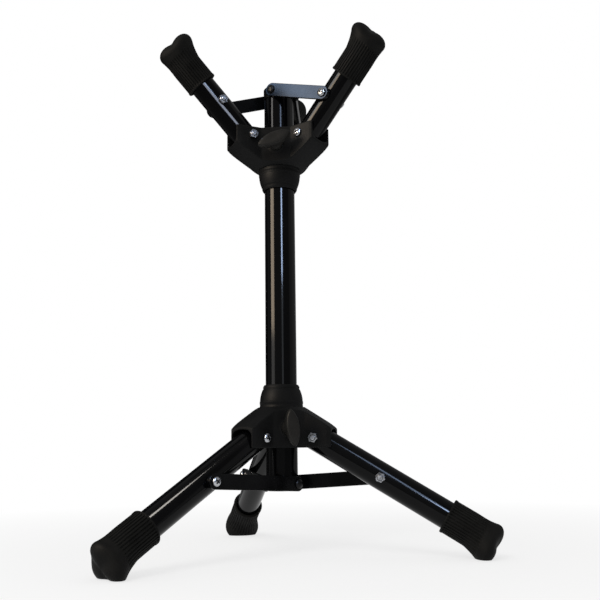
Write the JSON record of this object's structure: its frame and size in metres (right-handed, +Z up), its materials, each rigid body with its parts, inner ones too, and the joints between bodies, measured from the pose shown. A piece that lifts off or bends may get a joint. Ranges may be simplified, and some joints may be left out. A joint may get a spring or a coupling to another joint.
{
  "type": "handpan stand",
  "caption": "Folding double tripod stand: a tube with spread floor legs below and shorter spread arms above, each set on a sliding hub with a wing knob and link bars.",
  "frame": {"origin": "middle of the whole stand's outline on the floor, with the legs and arms spread as in use", "axes": "+Z up along the tube, which stands a little behind and left of the middle of the outline; the two wing knobs face -Y"},
  "size_m": [0.3418, 0.3406, 0.4972],
  "materials": {
    "gloss_black_paint": "gloss black powder paint",
    "satin_black_paint": "satin black paint",
    "satin_black_plastic": "satin moulded black",
    "black_rubber": "matte ribbed black rubber",
    "bright_zinc": "bright zinc plate",
    "black_steel": "blackened steel"
  },
  "bodies": {
    "column": {"central_tube": "gloss_black_paint", "lower_end_block": "satin_black_plastic", "upper_end_block": "satin_black_plastic"},
    "lower_hub": {"lower_hub": "satin_black_plastic", "lower_leg_right_pivot_bolt": "bright_zinc", "lower_leg_right_pivot_nut": "bright_zinc", "lower_leg_back_pivot_bolt": "bright_zinc", "lower_leg_back_pivot_nut": "bright_zinc", "lower_leg_left_pivot_bolt": "bright_zinc", "lower_leg_left_pivot_nut": "bright_zinc"},
    "lower_knob": {"lower_knob": "satin_black_plastic", "lower_knob_stud": "bright_zinc"},
    "lower_leg_right": {"lower_leg_right": "gloss_black_paint", "lower_leg_right_foot": "black_rubber", "lower_link_right_bolt": "bright_zinc", "lower_link_right_nut": "bright_zinc"},
    "lower_link_right": {"lower_link_right": "satin_black_paint", "lower_link_right_inner_pivot": "black_steel"},
    "lower_leg_back": {"lower_leg_back": "gloss_black_paint", "lower_leg_back_foot": "black_rubber", "lower_link_back_bolt": "bright_zinc", "lower_link_back_nut": "bright_zinc"},
    "lower_link_back": {"lower_link_back": "satin_black_paint", "lower_link_back_inner_pivot": "black_steel"},
    "lower_leg_left": {"lower_leg_left": "gloss_black_paint", "lower_leg_left_foot": "black_rubber", "lower_link_left_bolt": "bright_zinc", "lower_link_left_nut": "bright_zinc"},
    "lower_link_left": {"lower_link_left": "satin_black_paint", "lower_link_left_inner_pivot": "black_steel"},
    "upper_hub": {"upper_hub": "satin_black_plastic", "upper_arm_left_pivot_bolt": "bright_zinc", "upper_arm_left_pivot_nut": "bright_zinc", "upper_arm_back_pivot_bolt": "bright_zinc", "upper_arm_back_pivot_nut": "bright_zinc", "upper_arm_right_pivot_bolt": "bright_zinc", "upper_arm_right_pivot_nut": "bright_zinc"},
    "upper_knob": {"upper_knob": "satin_black_plastic", "upper_knob_stud": "bright_zinc"},
    "upper_arm_left": {"upper_arm_left": "gloss_black_paint", "upper_arm_left_foot": "black_rubber", "upper_link_left_bolt": "bright_zinc", "upper_link_left_nut": "bright_zinc"},
    "upper_link_left": {"upper_link_left": "satin_black_paint", "upper_link_left_inner_pivot": "black_steel"},
    "upper_arm_back": {"upper_arm_back": "gloss_black_paint", "upper_arm_back_foot": "black_rubber", "upper_link_back_bolt": "bright_zinc", "upper_link_back_nut": "bright_zinc"},
    "upper_link_back": {"upper_link_back": "satin_black_paint", "upper_link_back_inner_pivot": "black_steel"},
    "upper_arm_right": {"upper_arm_right": "gloss_black_paint", "upper_arm_right_foot": "black_rubber", "upper_link_right_bolt": "bright_zinc", "upper_link_right_nut": "bright_zinc"},
    "upper_link_right": {"upper_link_right": "satin_black_paint", "upper_link_right_inner_pivot": "black_steel"}
  },
  "joints": [
    {"name": "lower_hub_slide", "type": "slide", "parent": "column", "child": "lower_hub", "axis": [0, 0, 1], "range_m": [0, 0.1169]},
    {"name": "lower_knob_turn", "type": "hinge", "parent": "lower_hub", "child": "lower_knob", "pos_m": [-0.02285, -0.02434, 0.11503], "axis": [0.2504, -0.9681, 0], "range_deg": [0, 540]},
    {"name": "lower_leg_right_fold", "type": "hinge", "parent": "lower_hub", "child": "lower_leg_right", "pos_m": [0.01039, -0.03356, 0.10603], "axis": [0.2672, 0.9636, 0], "range_deg": [0, 53.26]},
    {"name": "lower_link_right_swing", "type": "hinge", "parent": "lower_leg_right", "child": "lower_link_right", "pos_m": [0.06919, -0.04987, 0.06972], "axis": [0.2672, 0.9636, 0], "range_deg": [-112.44, 0]},
    {"name": "lower_leg_back_fold", "type": "hinge", "parent": "lower_hub", "child": "lower_leg_back", "pos_m": [-0.03149, 0.00906, 0.10603], "axis": [-0.9681, -0.2504, 0], "range_deg": [0, 53.26]},
    {"name": "lower_link_back_swing", "type": "hinge", "parent": "lower_leg_back", "child": "lower_link_back", "pos_m": [-0.04677, 0.06813, 0.06972], "axis": [-0.9681, -0.2504, 0], "range_deg": [-112.44, 0]},
    {"name": "lower_leg_left_fold", "type": "hinge", "parent": "lower_hub", "child": "lower_leg_left", "pos_m": [-0.04746, -0.04853, 0.10603], "axis": [0.7009, -0.7133, 0], "range_deg": [0, 53.26]},
    {"name": "lower_link_left_swing", "type": "hinge", "parent": "lower_leg_left", "child": "lower_link_left", "pos_m": [-0.09098, -0.0913, 0.06972], "axis": [0.7009, -0.7133, 0], "range_deg": [-112.44, 0]},
    {"name": "upper_hub_slide", "type": "slide", "parent": "column", "child": "upper_hub", "axis": [0, 0, 1], "range_m": [-0.04431, 0.004]},
    {"name": "upper_knob_turn", "type": "hinge", "parent": "upper_hub", "child": "upper_knob", "pos_m": [-0.02285, -0.02434, 0.39233], "axis": [-0.1245, -0.9922, 0], "range_deg": [0, 540]},
    {"name": "upper_arm_left_fold", "type": "hinge", "parent": "upper_hub", "child": "upper_arm_left", "pos_m": [-0.05464, -0.03774, 0.40133], "axis": [-0.3883, 0.9215, 0], "range_deg": [-3.23, 35.71]},
    {"name": "upper_link_left_swing", "type": "hinge", "parent": "upper_arm_left", "child": "upper_link_left", "pos_m": [-0.08297, -0.04968, 0.4335], "axis": [-0.3883, 0.9215, 0], "range_deg": [-71.92, 6.5]},
    {"name": "upper_arm_back_fold", "type": "hinge", "parent": "upper_hub", "child": "upper_arm_back", "pos_m": [-0.01856, 0.00989, 0.40133], "axis": [0.9922, -0.1245, 0], "range_deg": [-3.23, 35.71]},
    {"name": "upper_link_back_swing", "type": "hinge", "parent": "upper_arm_back", "child": "upper_link_back", "pos_m": [-0.01473, 0.04039, 0.4335], "axis": [0.9922, -0.1245, 0], "range_deg": [-71.92, 6.5]},
    {"name": "upper_arm_right_fold", "type": "hinge", "parent": "upper_hub", "child": "upper_arm_right", "pos_m": [0.00465, -0.04518, 0.40133], "axis": [-0.6039, -0.7971, 0], "range_deg": [-3.23, 35.71]},
    {"name": "upper_link_right_swing", "type": "hinge", "parent": "upper_arm_right", "child": "upper_link_right", "pos_m": [0.02915, -0.06375, 0.4335], "axis": [-0.6039, -0.7971, 0], "range_deg": [-71.92, 6.5]}
  ],
  "couplings": [
    {"joint": "lower_leg_right_fold", "follows": "lower_hub_slide", "rad_per_m": 7.9505},
    {"joint": "lower_link_right_swing", "follows": "lower_hub_slide", "rad_per_m": -16.786},
    {"joint": "lower_leg_back_fold", "follows": "lower_hub_slide", "rad_per_m": 7.9505},
    {"joint": "lower_link_back_swing", "follows": "lower_hub_slide", "rad_per_m": -16.786},
    {"joint": "lower_leg_left_fold", "follows": "lower_hub_slide", "rad_per_m": 7.9505},
    {"joint": "lower_link_left_swing", "follows": "lower_hub_slide", "rad_per_m": -16.786},
    {"joint": "upper_arm_left_fold", "follows": "upper_hub_slide", "rad_per_m": -14.06},
    {"joint": "upper_link_left_swing", "follows": "upper_hub_slide", "rad_per_m": 28.325},
    {"joint": "upper_arm_back_fold", "follows": "upper_hub_slide", "rad_per_m": -14.06},
    {"joint": "upper_link_back_swing", "follows": "upper_hub_slide", "rad_per_m": 28.325},
    {"joint": "upper_arm_right_fold", "follows": "upper_hub_slide", "rad_per_m": -14.06},
    {"joint": "upper_link_right_swing", "follows": "upper_hub_slide", "rad_per_m": 28.325}
  ]
}
